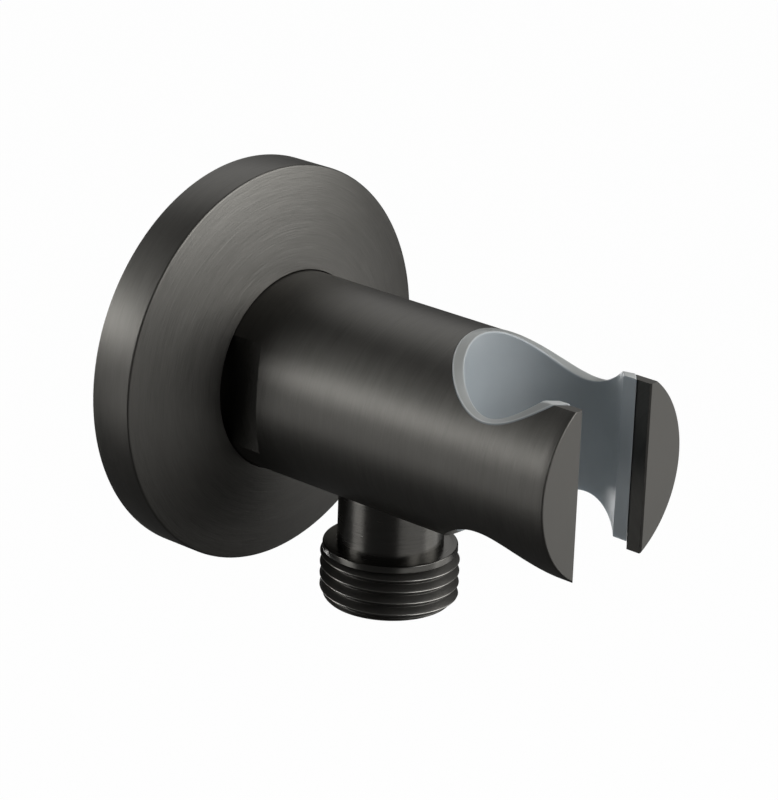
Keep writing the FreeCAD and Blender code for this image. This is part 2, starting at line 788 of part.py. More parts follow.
check_model()
os.makedirs("parts", exist_ok=True)
for piece in PIECES:
    piece.Shape.exportStep(f"parts/{piece.Label}.step")
    box = piece.Shape.BoundBox
    corners = [round(v, 2) for v in (box.XMin, box.YMin, box.ZMin, box.XMax, box.YMax, box.ZMax)]
    print(f"{piece.Label}: {piece.Shape.Volume:.1f} mm3, from {corners[:3]} to {corners[3:]}")
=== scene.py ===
import math

import bmesh
import bpy
from mathutils import Matrix, Vector


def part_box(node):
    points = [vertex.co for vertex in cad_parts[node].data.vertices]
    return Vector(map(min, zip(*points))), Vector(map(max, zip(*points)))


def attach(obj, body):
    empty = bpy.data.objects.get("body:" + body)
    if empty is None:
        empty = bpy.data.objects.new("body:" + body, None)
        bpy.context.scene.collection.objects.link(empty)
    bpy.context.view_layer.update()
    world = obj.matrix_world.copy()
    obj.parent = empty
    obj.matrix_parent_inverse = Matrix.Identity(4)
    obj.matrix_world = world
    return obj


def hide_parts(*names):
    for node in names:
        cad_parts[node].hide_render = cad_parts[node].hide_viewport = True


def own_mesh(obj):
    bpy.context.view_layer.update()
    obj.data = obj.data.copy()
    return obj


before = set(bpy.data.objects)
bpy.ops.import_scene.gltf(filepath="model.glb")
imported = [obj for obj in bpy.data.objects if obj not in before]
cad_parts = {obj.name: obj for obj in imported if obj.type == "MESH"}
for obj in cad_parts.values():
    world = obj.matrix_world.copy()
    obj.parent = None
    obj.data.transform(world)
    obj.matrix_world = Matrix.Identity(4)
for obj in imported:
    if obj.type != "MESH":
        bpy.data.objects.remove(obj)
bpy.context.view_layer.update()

# Wall outlet elbow with a handset holder. Lengths are in millimetres until MM turns them into metres.
MM = 0.001


def corners_of(node):
    low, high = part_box(node)
    return low / MM, high / MM


# Places read from the frame
BODY_LOW, BODY_HIGH = corners_of("holder_body")
BODY_RADIUS = BODY_HIGH.x
NOSE = BODY_LOW.y
BODY_BACK = BODY_HIGH.y
PLATE_LOW, PLATE_HIGH = corners_of("wall_plate")
PLATE_RADIUS = PLATE_HIGH.x
HUB_FRONT = PLATE_LOW.y
NIPPLE_LOW, NIPPLE_HIGH = corners_of("outlet_nipple")
OUTLET_CENTRE = (NIPPLE_LOW.y + NIPPLE_HIGH.y) / 2
THREAD_RADIUS = NIPPLE_HIGH.x
NIPPLE_TOP = NIPPLE_HIGH.z
NIPPLE_END = NIPPLE_LOW.z
LINER_HIGH = corners_of("holder_liner")[1]
LINER_RADIUS = LINER_HIGH.x
HOLDER_CENTRE = LINER_HIGH.y - LINER_RADIUS
SPRING_LOW, SPRING_HIGH = corners_of("check_valve_spring")

# The 1/2 inch pipe thread of the outlet and the inlet, with its rounded 55 degree form
THREAD_PITCH = 1.814
THREAD_DEPTH = 1.162
THREAD_SHARPNESS = 1.1
FLANK_SHARE = 0.8  # of the straight flanks in the form
SINE_SHARE = 0.2
THREAD_ROWS = 28  # rows of faces in one pitch
THREAD_LEAD_IN = 0.01  # from each end to the first row of faces

# Body: inlet, waterway, port, slot and flats
BODY_RINGS = 48  # along the body's round side
EDGE_BREAK = 0.25
EDGE_GUARD = 0.01  # a narrow ring that keeps the nose's face flat beside its rounded edge
INLET_RADIUS = 9.3155
INLET_CHAMFER = 0.8
INLET_END = -12.3
RELIEF_RADIUS = 10.6155
RELIEF_END = -14.7
WATERWAY_RADIUS = 4.5
WATERWAY_END = -37.5
DRILL_TIP = 2.6
PORT_RADIUS = 6.65
PORT_TOP = -6.9
SPOTFACE_RADIUS = 8.05
SPOTFACE = -11.9
BORE_RADIUS = 13.05
HALF_SLOT = 7.55
JAW_LEVEL = 12.4
FLAT_SIDE = 12.8
FLAT_START = -8.0
FLAT_END = -16.8
FLAT_RUNOUT = 0.9
CUT_BESIDE = 2  # how far the cuts reach past the body's side
CUT_AHEAD = 1  # how far they reach past its nose

# Plate
RIM_FRONT = -7.4
RIM_WALL = 2.0
PLATE_SKIN = 1.8
PLATE_EDGE = 0.4
PLATE_BACK_EDGE = 0.15
PLATE_HOLLOW_EDGE = 0.5
HUB_BORE = 15.5
HUB_OUTSIDE = 19.1
HUB_BACK = -3.0
HUB_FRONT_EDGE = 0.12
HUB_BACK_EDGE = 0.2
GROOVE_RADIUS = 17.3
GROOVE_FRONT = -6.7
GROOVE_BACK = -4.3

# Nipple
NIPPLE_BORE = 4.7
NIPPLE_TOP_EDGE = 0.15
SPIGOT_NOSE_RADIUS = 5.45
SPIGOT_TOP = -8.3
SPIGOT_RADIUS = 6.6
SPIGOT_EDGE = 0.2
NECK_TOP = -12.0
NECK_RADIUS = 8.0
SHOULDER = -21.6
COLLAR_RADIUS = 10.15
COLLAR_END = -22.6
COLLAR_EDGE = 0.2
COLLAR_RUNOUT = 1.2  # how fast the thread grows out of the collar
THREAD_CHAMFER = 1.0
VALVE_BORE = 6.2
VALVE_MOUTH = 0.4
VALVE_SEAT = -16.0
SOCKET_HALF = 4.5
SOCKET_END = -11.0
SOCKET_START = VALVE_SEAT - 0.5

# Liner
LINER_COLUMNS = 160
LINER_WALL = 1.9
LINER_DRAFT = 0.1
LINER_DRAFT_BEYOND = 1  # the draft is reached this far beyond the body's side
LINER_PROUD = 0.1
LINER_RECESS = 1.2
LINER_SLOT_HALF = 7.35
LINER_OUTER_EDGE = 0.2
LINER_INNER_EDGE = 0.35
LINER_BOTTOM_EDGE = 0.12
LINER_END_EDGE = 0.25
LINER_BEVEL_ANGLE = 50
LINER_BEVEL_SEGMENTS = 3
LINER_CAP_HALF = 9.1  # the caps that are level with the jaws reach this far from the middle

# Valve spring
SPRING_WIRE = 0.2
SPRING_TURNS = 4.0
SPRING_STEPS = 320
SPRING_SIDES = 12

# Meshes
ROUND = 224  # facets round a turned surface
ANGLES = [math.tau * i / ROUND for i in range(ROUND)]
CORNER_STEPS = 5
WELD_REACH = 0.0005
HAIR = 1e-6
SHARP_ANGLE = 32
THREAD_SHARP_ANGLE = 38
SPRING_SHARP_ANGLE = 50


def rounded(outline):
    """An outline's points. A corner is (across, along), or (across, along, radius) where it is rounded."""
    points = []
    count = len(outline)
    for i, corner in enumerate(outline):
        here = Vector(corner[:2])
        if len(corner) == 2:
            points.append(tuple(here))
            continue
        radius = corner[2]
        before = (Vector(outline[i - 1][:2]) - here).normalized()
        after = (Vector(outline[(i + 1) % count][:2]) - here).normalized()
        half = before.angle(after) / 2
        reach = radius / math.tan(half)
        centre = here + (before + after).normalized() * (radius / math.sin(half))
        start = here + before * reach - centre
        turn = start.angle_signed(here + after * reach - centre)
        for step in range(CORNER_STEPS + 1):
            arm = start.copy()
            arm.rotate(Matrix.Rotation(-turn * step / CORNER_STEPS, 2))
            points.append(tuple(centre + arm))
    return points


def turned_wall(outline, closed=False):
    """Rings of (radius, angle, along) points for an outline, and the faces between them."""
    points = [(radius, angle, along) for radius, along in outline for angle in ANGLES]
    faces = []
    count = len(outline)
    for row in range(count if closed else count - 1):
        this, following = row * ROUND, (row + 1) % count * ROUND
        for i in range(ROUND):
            j = (i + 1) % ROUND
            faces.append((this + i, this + j, following + j, following + i))
    return points, faces


def thread_form(phase):
    """How far out the thread's form stands at a share of one pitch: 0 at its root and 1 at its crest."""
    flank = max(-1.0, min(1.0, THREAD_SHARPNESS * (4 * abs(phase - 0.5) - 1)))
    return 0.5 + 0.5 * (FLANK_SHARE * flank + SINE_SHARE * math.sin(flank * math.pi / 2))


def threaded_wall(start, end, minor, limit, end_radii):
    """A right-hand thread between two places on its axis. Its rows follow the turns, limit(radius, along)
    trims them where the thread runs out, and at the two places they meet rings of end_radii."""
    way = 1 if end > start else -1
    step = THREAD_PITCH / THREAD_ROWS
    length = abs(end - start)
    rows = math.ceil((length + 2 * THREAD_PITCH) / step) + THREAD_ROWS
    points = []
    for row in range(rows + 1):
        for i in range(ROUND):
            # a right-hand thread goes away from the eye as it turns clockwise
            angle = -way * ANGLES[i]
            gone = row * step + THREAD_PITCH * i / ROUND - THREAD_PITCH
            if gone <= HAIR:
                points.append((end_radii[0], angle, start))
                continue
            if gone >= length - HAIR:
                points.append((end_radii[1], angle, end))
                continue
            # the first and last rows keep one small distance from the ends, so that their faces match
            kept = gone
            if gone <= step + HAIR:
                kept = THREAD_LEAD_IN
            elif gone >= length - step - HAIR:
                kept = length - THREAD_LEAD_IN
            phase = (row / THREAD_ROWS + (kept - gone) / THREAD_PITCH) % 1
            form = minor + THREAD_DEPTH * thread_form(phase)
            along = start + way * kept
            points.append((limit(form, along), angle, along))
    faces = []
    for row in range(rows):
        for i in range(ROUND):
            a = row * ROUND + i
            if i < ROUND - 1:
                b = a + 1
            elif row + THREAD_ROWS < rows:
                b = (row + THREAD_ROWS) * ROUND
            else:
                continue
            faces.append((a, b, b + ROUND, a + ROUND))
    return points, faces


def as_given(x, y, z):
    return Vector((x, y, z))


def about_body(radius, angle, along):
    return Vector((radius * math.sin(angle), along, radius * math.cos(angle)))


def about_outlet(radius, angle, along):
    return Vector((radius * math.cos(angle), OUTLET_CENTRE + radius * math.sin(angle), along))


def link(name, data):
    piece = bpy.data.objects.new(name, data)
    bpy.context.scene.collection.objects.link(piece)
    return piece


def weld(work):
    """Joins points that lie on each other, drops faces without area and closes the specks this opens."""
    bmesh.ops.remove_doubles(work, verts=work.verts, dist=WELD_REACH * MM)
    bmesh.ops.dissolve_degenerate(work, edges=work.edges, dist=WELD_REACH * MM)
    bmesh.ops.holes_fill(work, edges=work.edges, sides=3)


def mesh_object(name, parts, place=as_given):
    """One welded mesh from several (points, faces) parts, whose points go through place."""
    work = bmesh.new()
    for points, faces in parts:
        verts = [work.verts.new(place(*point) * MM) for point in points]
        for face in faces:
            work.faces.new([verts[i] for i in face])
    weld(work)
    bmesh.ops.recalc_face_normals(work, faces=work.faces)
    mesh = bpy.data.meshes.new(name)
    work.to_mesh(mesh)
    work.free()
    return link(name, mesh)


def prism(name, outline, low, high, lift=as_given):
    """A straight prism. lift(a, b, height) turns an outline's point and a height into a place."""
    points = [(a, b, height) for height in (low, high) for a, b in outline]
    count = len(outline)
    faces = [tuple(range(count)), tuple(range(2 * count - 1, count - 1, -1))]
    for i in range(count):
        j = (i + 1) % count
        faces.append((i, j, j + count, i + count))
    return mesh_object(name, [(points, faces)], lift)


def tube(name, sections):
    """A mesh through a row of sections, each a ring of as many places, with a face at both ends."""
    points = [place for section in sections for place in section]
    ring = len(sections[0])
    last = (len(sections) - 1) * ring
    faces = []
    for a in range(0, last, ring):
        for i in range(ring):
            j = (i + 1) % ring
            faces.append((a + i, a + j, a + ring + j, a + ring + i))
    faces.append(tuple(range(ring)))
    faces.append(tuple(last + i for i in reversed(range(ring))))
    return mesh_object(name, [(points, faces)])


def settle(piece):
    """Applies the piece's modifiers and welds what they leave."""
    graph = bpy.context.evaluated_depsgraph_get()
    mesh = bpy.data.meshes.new_from_object(piece.evaluated_get(graph), depsgraph=graph)
    piece.modifiers.clear()
    work = bmesh.new()
    work.from_mesh(mesh)
    weld(work)
    work.to_mesh(mesh)
    work.free()
    piece.data = mesh


def cut_away(piece, cutters):
    """Cuts each cutter out of the piece and removes it."""
    for cutter in cutters:
        modifier = piece.modifiers.new("cut", "BOOLEAN")
        modifier.operation = "DIFFERENCE"
        modifier.solver = "EXACT"
        modifier.object = cutter
        settle(piece)
        bpy.data.objects.remove(cutter)


def smooth(piece, degrees=SHARP_ANGLE):
    mesh = piece.data
    mesh.polygons.foreach_set("use_smooth", [True] * len(mesh.polygons))
    mesh.set_sharp_from_angle(angle=math.radians(degrees))
    mesh.update()


# The turned bar and its cuts

def make_body():
    mouth = INLET_RADIUS + INLET_CHAMFER
    nose_edge = rounded([
        (BODY_RADIUS - EDGE_BREAK, NOSE),
        (BODY_RADIUS, NOSE, EDGE_BREAK),
        (BODY_RADIUS, NOSE + EDGE_BREAK),
    ])[1:-1]
    length = BODY_BACK - NOSE
    side = [(BODY_RADIUS, NOSE + length * i / BODY_RINGS) for i in range(1, BODY_RINGS)]
    outline = [
        (RELIEF_RADIUS, INLET_END),
        (RELIEF_RADIUS, RELIEF_END),
        (WATERWAY_RADIUS, RELIEF_END),
        (WATERWAY_RADIUS, WATERWAY_END),
        (0.0, WATERWAY_END - DRILL_TIP),
        (0.0, NOSE),
        (BODY_RADIUS - EDGE_BREAK - EDGE_GUARD, NOSE),
        *nose_edge,
        *side,
        (BODY_RADIUS, BODY_BACK - EDGE_BREAK),
        (BODY_RADIUS - EDGE_BREAK, BODY_BACK),
        (mouth, BODY_BACK),
    ]
    thread = threaded_wall(
        BODY_BACK, INLET_END, INLET_RADIUS,
        lambda radius, along: max(radius, mouth - (BODY_BACK - along)),
        (mouth, RELIEF_RADIUS),
    )
    body = mesh_object("turned_body", [turned_wall(outline), thread], about_body)
    cut_away(body, body_cutters())
    smooth(body)
    return body


def body_cutters():
    """The holder's bore, its slot, the jaws' level tops, the two spanner flats and the nipple's port."""
    tall = BODY_RADIUS + CUT_BESIDE
    ahead = NOSE - CUT_AHEAD
    bore = prism("bore", [
        (BORE_RADIUS * math.cos(angle), HOLDER_CENTRE + BORE_RADIUS * math.sin(angle)) for angle in ANGLES
    ], -tall, tall)
    slot = prism("slot", [
        (HALF_SLOT, HOLDER_CENTRE),
        (HALF_SLOT, NOSE + EDGE_BREAK),
        (HALF_SLOT + EDGE_BREAK + CUT_AHEAD, ahead),
        (-HALF_SLOT - EDGE_BREAK - CUT_AHEAD, ahead),
        (-HALF_SLOT, NOSE + EDGE_BREAK),
        (-HALF_SLOT, HOLDER_CENTRE),
    ], -tall, tall)
    level = prism("jaw_level", [
        (HOLDER_CENTRE, JAW_LEVEL),
        (HOLDER_CENTRE, tall),
        (ahead, tall),
        (ahead, JAW_LEVEL),
    ], -tall, tall, lambda along, up, across: Vector((across, along, up)))
    flats = [
        prism("spanner_flat", [
            (side * FLAT_SIDE, FLAT_START),
            (side * tall, FLAT_START),
            (side * tall, FLAT_END - FLAT_RUNOUT - CUT_BESIDE),
            (side * FLAT_SIDE, FLAT_END),
        ], -tall, tall)
        for side in (-1, 1)
    ]
    port = mesh_object("port", [turned_wall([
        (0.0, 0.0),
        (WATERWAY_RADIUS, 0.0),
        (WATERWAY_RADIUS, PORT_TOP),
        (PORT_RADIUS, PORT_TOP),
        (PORT_RADIUS, SPOTFACE),
        (SPOTFACE_RADIUS, SPOTFACE),
        (SPOTFACE_RADIUS, -tall),
        (0.0, -tall),
    ])], about_outlet)
    return [bore, slot, level, *flats, port]


# The plate, turned with a low cone for its face

def make_plate():
    inside = PLATE_RADIUS - RIM_WALL
    slope = (HUB_FRONT - RIM_FRONT) / (PLATE_RADIUS - HUB_BORE)
    hub_root = RIM_FRONT + slope * (PLATE_RADIUS - HUB_OUTSIDE) + PLATE_SKIN
    rim_root = RIM_FRONT + slope * RIM_WALL + PLATE_SKIN
    outline = rounded([
        (PLATE_RADIUS, 0.0, PLATE_BACK_EDGE),
        (PLATE_RADIUS, RIM_FRONT, PLATE_EDGE),
        (HUB_BORE, HUB_FRONT, HUB_FRONT_EDGE),
        (HUB_BORE, GROOVE_FRONT),
        (GROOVE_RADIUS, GROOVE_FRONT),
        (GROOVE_RADIUS, GROOVE_BACK),
        (HUB_BORE, GROOVE_BACK),
        (HUB_BORE, HUB_BACK, HUB_BACK_EDGE),
        (HUB_OUTSIDE, HUB_BACK, HUB_BACK_EDGE),
        (HUB_OUTSIDE, hub_root, PLATE_HOLLOW_EDGE),
        (inside, rim_root, PLATE_HOLLOW_EDGE),
        (inside, 0.0, PLATE_BACK_EDGE),
    ])
    plate = mesh_object("cover_plate", [turned_wall(outline, closed=True)], about_body)
    smooth(plate)
    return plate


# The nipple, with the hose thread cut in it

def make_nipple():
    tip = THREAD_RADIUS - THREAD_CHAMFER
    outline = rounded([
        (COLLAR_RADIUS, COLLAR_END),
        (COLLAR_RADIUS, SHOULDER, COLLAR_EDGE),
        (NECK_RADIUS, SHOULDER),
        (NECK_RADIUS, NECK_TOP),
        (SPIGOT_RADIUS, NECK_TOP),
        (SPIGOT_RADIUS, SPIGOT_TOP, SPIGOT_EDGE),
        (SPIGOT_NOSE_RADIUS, SPIGOT_TOP),
        (SPIGOT_NOSE_RADIUS, NIPPLE_TOP, NIPPLE_TOP_EDGE),
        (NIPPLE_BORE, NIPPLE_TOP),
        (NIPPLE_BORE, VALVE_SEAT),
        (VALVE_BORE, VALVE_SEAT),
        (VALVE_BORE, NIPPLE_END + VALVE_MOUTH),
        (VALVE_BORE + VALVE_MOUTH, NIPPLE_END),
        (tip, NIPPLE_END),
    ])
    thread = threaded_wall(
        COLLAR_END, NIPPLE_END, THREAD_RADIUS - THREAD_DEPTH,
        lambda radius, along: min(
            radius,
            tip + (along - NIPPLE_END),
            COLLAR_RADIUS + COLLAR_RUNOUT * (COLLAR_END - along),
        ),
        (COLLAR_RADIUS, tip),
    )
    nipple = mesh_object("threaded_nipple", [turned_wall(outline), thread], about_outlet)
    half_side = SOCKET_HALF / math.sqrt(3)
    socket = prism("socket", [
        (SOCKET_HALF, OUTLET_CENTRE + half_side),
        (0.0, OUTLET_CENTRE + 2 * half_side),
        (-SOCKET_HALF, OUTLET_CENTRE + half_side),
        (-SOCKET_HALF, OUTLET_CENTRE - half_side),
        (0.0, OUTLET_CENTRE - 2 * half_side),
        (SOCKET_HALF, OUTLET_CENTRE - half_side),
    ], SOCKET_START, SOCKET_END)
    cut_away(nipple, [socket])
    smooth(nipple, THREAD_SHARP_ANGLE)
    return nipple


# The split sleeve in the holder, with soft edges

def make_liner():
    inside = LINER_RADIUS - LINER_WALL
    top = BODY_RADIUS + LINER_PROUD
    bottom = BODY_RADIUS - LINER_RECESS
    half_height = BODY_RADIUS + LINER_DRAFT_BEYOND

    def taper(z):
        return inside + LINER_DRAFT * z / half_height

    def place(radius, share, z):
        """A point of the sleeve, a share of the way round from one side of the slot to the other."""
        start = math.asin(LINER_SLOT_HALF / radius)
        angle = start + (math.tau - 2 * start) * share
        return Vector((radius * math.sin(angle), HOLDER_CENTRE - radius * math.cos(angle), z))

    def section(share):
        """The sleeve's section there. Its top is level from wall to wall and follows the body's round, or
        the flats on the jaws. Its bottom is a saddle."""
        outer = place(LINER_RADIUS, share, 0)
        rim = math.sqrt(top ** 2 - outer.x ** 2)
        if outer.y < HOLDER_CENTRE:
            rim = min(rim, JAW_LEVEL + LINER_PROUD)
        outer_bottom = -math.sqrt(bottom ** 2 - outer.x ** 2)
        inner_bottom = -math.sqrt(bottom ** 2 - place(taper(-bottom), share, 0).x ** 2)
        outline = rounded([
            (LINER_RADIUS, outer_bottom, LINER_BOTTOM_EDGE),
            (LINER_RADIUS, rim, LINER_OUTER_EDGE),
            (taper(rim), rim, LINER_INNER_EDGE),
            (taper(inner_bottom), inner_bottom, LINER_BOTTOM_EDGE),
        ])
        return [place(radius, share, z) for radius, z in outline]

    liner = tube("liner_sleeve", [section(column / LINER_COLUMNS) for column in range(LINER_COLUMNS + 1)])
    bevel = liner.modifiers.new("soft_ends", "BEVEL")
    bevel.width = LINER_END_EDGE * MM
    bevel.segments = LINER_BEVEL_SEGMENTS
    bevel.limit_method = "ANGLE"
    bevel.angle_limit = math.radians(LINER_BEVEL_ANGLE)
    settle(liner)
    smooth(liner)
    return liner


# The valve's spring, a coil between the ends it has in the frame. In the valve it is squeezed as the poppet
# goes down.

def make_spring():
    coil = SPRING_HIGH.x - SPRING_WIRE
    low = SPRING_LOW.z + SPRING_WIRE
    rise = SPRING_HIGH.z - SPRING_WIRE - low

    def section(share):
        angle = math.tau * SPRING_TURNS * share
        cos, sin = math.cos(angle), math.sin(angle)
        middle = Vector((coil * cos, OUTLET_CENTRE + coil * sin, low + rise * share))
        out = Vector((cos, sin, 0))
        climb = Vector((-sin, cos, rise / (math.tau * SPRING_TURNS * coil))).normalized()
        side = climb.cross(out)
        spins = [math.tau * k / SPRING_SIDES for k in range(SPRING_SIDES)]
        return [middle + SPRING_WIRE * (math.cos(spin) * out + math.sin(spin) * side) for spin in spins]

    spring = tube("coil_spring", [section(step / SPRING_STEPS) for step in range(SPRING_STEPS + 1)])
    smooth(spring, SPRING_SHARP_ANGLE)
    return spring


# Finishes

class Shade:
    """A value on its way through a finish's nodes. Arithmetic on it adds Math nodes."""

    def __init__(self, finish, socket):
        self.finish = finish
        self.socket = socket

    def math(self, operation, *values):
        return self.finish.node("ShaderNodeMath", {"operation": operation}, dict(enumerate(values)))

    def __add__(self, other):
        return self.math("ADD", self, other)

    def __radd__(self, other):
        return self.math("ADD", other, self)

    def __sub__(self, other):
        return self.math("SUBTRACT", self, other)

    def __rsub__(self, other):
        return self.math("SUBTRACT", other, self)

    def __mul__(self, other):
        return self.math("MULTIPLY", self, other)

    def __rmul__(self, other):
        return self.math("MULTIPLY", other, self)

    def __pow__(self, other):
        return self.math("POWER", self, other)

    def __abs__(self):
        return self.math("ABSOLUTE", self)

    def below(self, limit):
        return self.math("LESS_THAN", self, limit)

    def lesser(self, other):
        return self.math("MINIMUM", self, other)

    def greater(self, other):
        return self.math("MAXIMUM", self, other)

    def ramp(self, start, end):
        """Eases from 0 at start to 1 at end."""
        return self.finish.node(
            "ShaderNodeMapRange", {"interpolation_type": "SMOOTHSTEP"},
            {"Value": self, "From Min": start, "From Max": end},
        )


def from_axis(a, b):
    """How far a point is from an axis that a and b are measured across."""
    return (a * a + b * b) ** 0.5


class Finish:
    """One material and its nodes."""

    def __init__(self, name, **plain):
        self.material = bpy.data.materials.new(name)
        self.material.use_nodes = True
        self.tree = self.material.node_tree
        self.shader = self.tree.nodes["Principled BSDF"]
        for socket, value in plain.items():
            self.shader.inputs[socket.replace("_", " ")].default_value = value

    def node(self, kind, settings=None, values=None, output=0):
        """Adds a node, sets it up, feeds its sockets and gives one of its outputs."""
        node = self.tree.nodes.new(kind)
        for name, setting in (settings or {}).items():
            setattr(node, name, setting)
        for name, value in (values or {}).items():
            self.feed(node.inputs[name], value)
        return Shade(self, node.outputs[output])

    def feed(self, socket, value):
        if isinstance(value, Shade):
            self.tree.links.new(value.socket, socket)
        else:
            socket.default_value = value

    def set(self, socket, value):
        self.feed(self.shader.inputs[socket], value)

    def coordinates(self, kind):
        """The x, y and z of a texture coordinate. Object is in metres in the part's own frame."""
        vector = self.node("ShaderNodeTexCoord", output=kind)
        parts = self.node("ShaderNodeSeparateXYZ", values={"Vector": vector})
        return [Shade(self, output) for output in parts.socket.node.outputs]

    def noise(self, x, y, z, detail=2.0, roughness=0.5):
        vector = self.node("ShaderNodeCombineXYZ", values={0: x, 1: y, 2: z})
        return self.node(
            "ShaderNodeTexNoise", {"noise_dimensions": "3D"},
            {"Vector": vector, "Scale": 1.0, "Detail": detail, "Roughness": roughness},
        )

    def blend(self, share, first, second):
        colours = {"Factor": share, 6: first, 7: second}
        return self.node("ShaderNodeMix", {"data_type": "RGBA"}, colours, output=2)

    def set_bump(self, height, strength, distance):
        values = {"Strength": strength, "Distance": distance, "Height": height}
        self.set("Normal", self.node("ShaderNodeBump", values=values))


def scaled(colour, by):
    return (*(min(1.0, part * by) for part in colour), 1)


BLACK = (0, 0, 0, 1)
WHITE = (1, 1, 1, 1)
GUNMETAL = (0.12, 0.1165, 0.108)
# the paler colour of the thread's crests: partly rubbed wear, partly a painted highlight
CREST_WEAR_AND_HIGHLIGHT_GUNMETAL = (0.3, 0.292, 0.275, 1)


def brushed_gunmetal(name, across, along, roughness, painted_light_and_wear=None, plain_face=None):
    """Dark coated brass, brushed while it turned: fine lines run round the axis. across and along pick the
    finish's coordinates from a point's x, y and z. The function for painted light and wear gives how much
    of its brightness a place keeps, which is painted shade on the body's slot walls and a darker thread on
    the nipple, how far it is rubbed bright, which is wear and a painted highlight on the thread's crests,
    and how much rougher it is. The lines fade out on a face that stands at plain_face."""
    finish = Finish(name, Metallic=1.0)
    spot = finish.coordinates("Object")
    a, b = across(*spot)
    length = along(*spot)
    sweep = length + from_axis(a, b)
    fine = finish.noise(a * 300, b * 300, sweep * 3800, 2.0, 0.6)
    coarse = finish.noise(a * 140, b * 140, sweep * 1150)
    streaks = finish.noise(a * 70, b * 70, sweep * 430)
    cloud = finish.noise(a * 90, b * 90, length * 90, 3.0)
    lines = fine * 0.42 + coarse * 0.3 + streaks * 0.28 - 0.5
    if plain_face is not None:
        clear_of_face = length.ramp(plain_face + 0.02 * MM, plain_face + 0.3 * MM)
        lines = lines * (0.12 + 0.88 * clear_of_face)
    grain = lines + 0.5
    colour = finish.blend(grain, scaled(GUNMETAL, 0.72), scaled(GUNMETAL, 1.32))
    rough = roughness + lines * 0.1 + cloud * 0.04
    if painted_light_and_wear is not None:
        kept, rub_and_highlight, rougher = painted_light_and_wear(*spot)
        # how much brightness a place keeps: painted shade on the slot walls, a darker thread on the nipple
        colour = finish.blend(kept, BLACK, colour)
        # rubbed bright: wear, and a painted highlight along the thread's crests
        colour = finish.blend(rub_and_highlight, colour, CREST_WEAR_AND_HIGHLIGHT_GUNMETAL)
        rough = rough + rougher
    finish.set("Base Color", colour)
    finish.set("Roughness", rough)
    finish.set_bump(grain, 1.0, 4.5e-5)
    return finish.material


def body_gunmetal():
    def painted_slot_shade(x, y, z):
        """Painted shade: the slot's milled walls between the jaws keep only 55 percent of the brushed
        colour's brightness.
        """
        shaded_slot_wall = abs(x).below((HALF_SLOT + 0.03) * MM)
        return 1 - 0.45 * shaded_slot_wall * y.below(HOLDER_CENTRE * MM), 0.0, 0.0

    return brushed_gunmetal(
        "gunmetal_body", lambda x, y, z: (x, z), lambda x, y, z: y, 0.42, painted_slot_shade, NOSE * MM,
    )


def plate_gunmetal():
    return brushed_gunmetal("gunmetal_plate", lambda x, y, z: (x, z), lambda x, y, z: y, 0.42)


def nipple_gunmetal():
    centre = OUTLET_CENTRE * MM

    def thread_wear_and_highlight(x, y, z):
        """The thread is a fifth darker than the rest and rougher down in its turns. Along its crests it is
        paler, which is partly rubbed wear and partly a painted highlight.
        """
        radius = from_axis(x, y - centre)
        crest = radius.ramp((THREAD_RADIUS - 0.07) * MM, (THREAD_RADIUS - 0.01) * MM)
        thread = z.below((COLLAR_END - 0.02) * MM)
        return 1 - 0.2 * thread, thread * crest * 0.8, thread * (0.22 - 0.15 * crest)

    return brushed_gunmetal(
        "gunmetal_nipple", lambda x, y, z: (x, y - centre), lambda x, y, z: z, 0.24, thread_wear_and_highlight,
    )


def liner_plastic():
    finish = Finish(
        "pale_grey_acetal", IOR=1.48, Subsurface_Weight=0.25, Subsurface_Radius=(1.0, 1.1, 1.2),
        Subsurface_Scale=0.0015,
    )
    x, y, z = finish.coordinates("Object")
    cloud = finish.noise(x * 120, y * 120, z * 120, 3.0)
    fine = finish.noise(x * 1500, y * 1500, z * 1500)
    inside = finish.blend(cloud, (0.252, 0.279, 0.296, 1), (0.300, 0.328, 0.343, 1))
    # painted highlight: the rim is paler along its two edges, standing in for light that comes through
    # them, and on the caps that are level with the jaws
    middle = (LINER_RADIUS - LINER_WALL / 2) * MM
    from_middle = abs(from_axis(x, y - HOLDER_CENTRE * MM) - middle)
    edge = from_middle.ramp((LINER_WALL / 2 - 0.4) * MM, (LINER_WALL / 2 - 0.1) * MM)
    painted_cap_highlight = abs(x).below(LINER_CAP_HALF * MM) * y.below(HOLDER_CENTRE * MM)
    rim = finish.blend(edge.greater(painted_cap_highlight), (0.295, 0.305, 0.298, 1), (0.46, 0.475, 0.47, 1))
    # faces that face up take the rim's colour with its painted highlights; the rest take the inside's bluer
    # grey
    upward = finish.coordinates("Normal")[2].ramp(0.5, 0.9)
    finish.set("Base Color", finish.blend(upward, inside, rim))
    finish.set("Roughness", 0.3 + fine * 0.12)
    finish.set_bump(fine, 0.3, 8e-6)
    return finish.material


def moulded(name, colour, roughness):
    """A plain moulded plastic or rubber: an even colour with a fine skin."""
    finish = Finish(name)
    x, y, z = finish.coordinates("Object")
    skin = finish.noise(x * 2200, y * 2200, z * 2200, 3.0)
    cloud = finish.noise(x * 240, y * 240, z * 240)
    finish.set("Base Color", finish.blend(cloud, scaled(colour, 0.9), scaled(colour, 1.08)))
    finish.set("Roughness", roughness - 0.06 + skin * 0.12)
    finish.set_bump(skin, 0.4, 5e-6)
    return finish.material


def drawn_steel():
    finish = Finish("drawn_steel", Metallic=1.0)
    x, y, z = finish.coordinates("Object")
    line = finish.noise(x * 900, y * 900, z * 5200)
    finish.set("Base Color", finish.blend(line, (0.5, 0.49, 0.47, 1), (0.62, 0.61, 0.59, 1)))
    finish.set("Roughness", 0.2 + line * 0.12)
    return finish.material


def dress(piece, material):
    piece.data.materials.clear()
    piece.data.materials.append(material)


